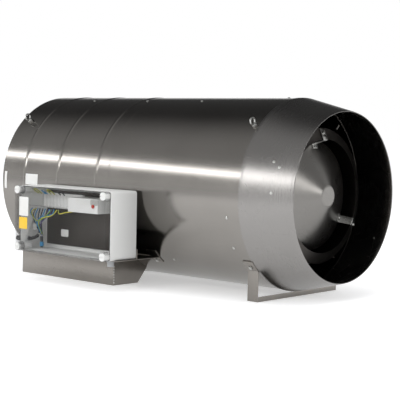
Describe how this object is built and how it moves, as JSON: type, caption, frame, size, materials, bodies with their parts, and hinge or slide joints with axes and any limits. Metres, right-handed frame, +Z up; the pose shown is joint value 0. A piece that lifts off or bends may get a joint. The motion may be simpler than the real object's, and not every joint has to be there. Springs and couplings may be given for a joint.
{
  "type": "oil-fired space heater",
  "caption": "Round stainless oil-fired air heater with tapered outlet, flame drum and deflector, rear fan, clear-lidded control box, eye bolts, front foot and lower housing.",
  "frame": {"origin": "on the floor, under the middle of the whole heater's length and width", "axes": "+X along the casing's axis towards the outlet, -Y towards the control box, +Z up"},
  "size_m": [1.05, 0.6273, 0.5173],
  "materials": {
    "stainless": "cold-rolled stainless sheet, faint circumferential grain",
    "stainless_light": "brighter stainless sheet",
    "heat_steel": "heat-tinted steel",
    "zinc": "zinc-plated steel",
    "black_plastic": "matt black moulding",
    "box_grey": "light grey moulded box",
    "white_plastic": "white moulding",
    "smoky_clear": "smoky clear polycarbonate",
    "motor_paint": "grey enamel",
    "fan_paint": "black powder coat",
    "winding": "copper winding",
    "copper": "drawn copper pipe",
    "brass": "machined brass",
    "cast_grey": "cast aluminium",
    "ceramic": "glazed ceramic",
    "gasket_foam": "black foam seal",
    "plate_dark": "dark mounting plate",
    "wire_blue": "blue wire sheath",
    "lead_red": "silicone lead",
    "button_red": "red push button",
    "gland_grey": "grey cable gland",
    "label_white": "blank white label",
    "label_mix": "blank white and yellow labels"
  },
  "bodies": {
    "root": {"rear_casing": "stainless", "front_casing": "stainless", "joint_band": "zinc", "sheet_screws": "zinc", "inlet_ring": "zinc", "rear_guard": "fan_paint", "motor_stator": "winding", "motor_housing": "motor_paint", "motor_caps": "motor_paint", "motor_bearings": "zinc", "motor_bracket": "zinc", "pump_adapter": "cast_grey", "oil_pump": "cast_grey", "solenoid_valve": "black_plastic", "oil_pipes": "copper", "oil_inlet": "brass", "burner_tube": "heat_steel", "burner_spider": "heat_steel", "swirl_plate": "heat_steel", "oil_lance": "brass", "oil_nozzle": "brass", "spark_electrodes": "ceramic", "flame_sensor": "black_plastic", "ignition_leads": "lead_red", "ignition_transformer": "black_plastic", "combustion_drum": "heat_steel", "drum_front_ring": "heat_steel", "drum_spacers": "zinc", "deflector_dish": "heat_steel", "dish_brackets": "zinc", "dish_bolts": "zinc", "outlet_collar": "stainless_light", "collar_rivets": "zinc", "overheat_sensor": "black_plastic", "eye_bolts": "zinc", "front_foot": "stainless_light", "mounting_bolts": "zinc", "lower_housing": "stainless_light", "housing_base": "stainless_light", "box_bracket": "stainless_light", "control_box": "box_grey", "box_gasket": "gasket_foam", "mounting_plate": "plate_dark", "terminal_blocks": "white_plastic", "burner_controller": "white_plastic", "cable_glands": "gland_grey", "motor_cable": "black_plastic", "box_wires": "wire_blue", "casing_labels": "label_white"},
    "rotor": {"fan": "fan_paint", "motor_shaft": "zinc", "motor_rotor": "cast_grey", "pump_coupling": "black_plastic"},
    "lid": {"box_lid": "smoky_clear", "lid_labels": "label_mix"},
    "lid_screw_1": {"lid_screw_1": "white_plastic"},
    "lid_screw_2": {"lid_screw_2": "white_plastic"},
    "lid_screw_3": {"lid_screw_3": "white_plastic"},
    "lid_screw_4": {"lid_screw_4": "white_plastic"},
    "reset_button": {"reset_button": "button_red"}
  },
  "joints": [
    {"name": "fan_spin", "type": "hinge", "parent": "root", "child": "rotor", "pos_m": [-0.45, 0.0617, 0.265], "axis": [1, 0, 0], "continuous": true},
    {"name": "lid_lift", "type": "slide", "parent": "root", "child": "lid", "axis": [0, -1, 0], "range_m": [0, 0.08]},
    {"name": "lid_screw_1_turn", "type": "hinge", "parent": "lid", "child": "lid_screw_1", "pos_m": [-0.307, -0.2983, 0.2525], "axis": [0, -1, 0], "range_deg": [0, 90]},
    {"name": "lid_screw_2_turn", "type": "hinge", "parent": "lid", "child": "lid_screw_2", "pos_m": [0.034, -0.2983, 0.2525], "axis": [0, -1, 0], "range_deg": [0, 90]},
    {"name": "lid_screw_3_turn", "type": "hinge", "parent": "lid", "child": "lid_screw_3", "pos_m": [-0.307, -0.2983, 0.0955], "axis": [0, -1, 0], "range_deg": [0, 90]},
    {"name": "lid_screw_4_turn", "type": "hinge", "parent": "lid", "child": "lid_screw_4", "pos_m": [0.034, -0.2983, 0.0955], "axis": [0, -1, 0], "range_deg": [0, 90]},
    {"name": "reset_press", "type": "slide", "parent": "root", "child": "reset_button", "axis": [0, 1, 0], "range_m": [0, 0.002], "stiffness_N_per_m": 400}
  ]
}
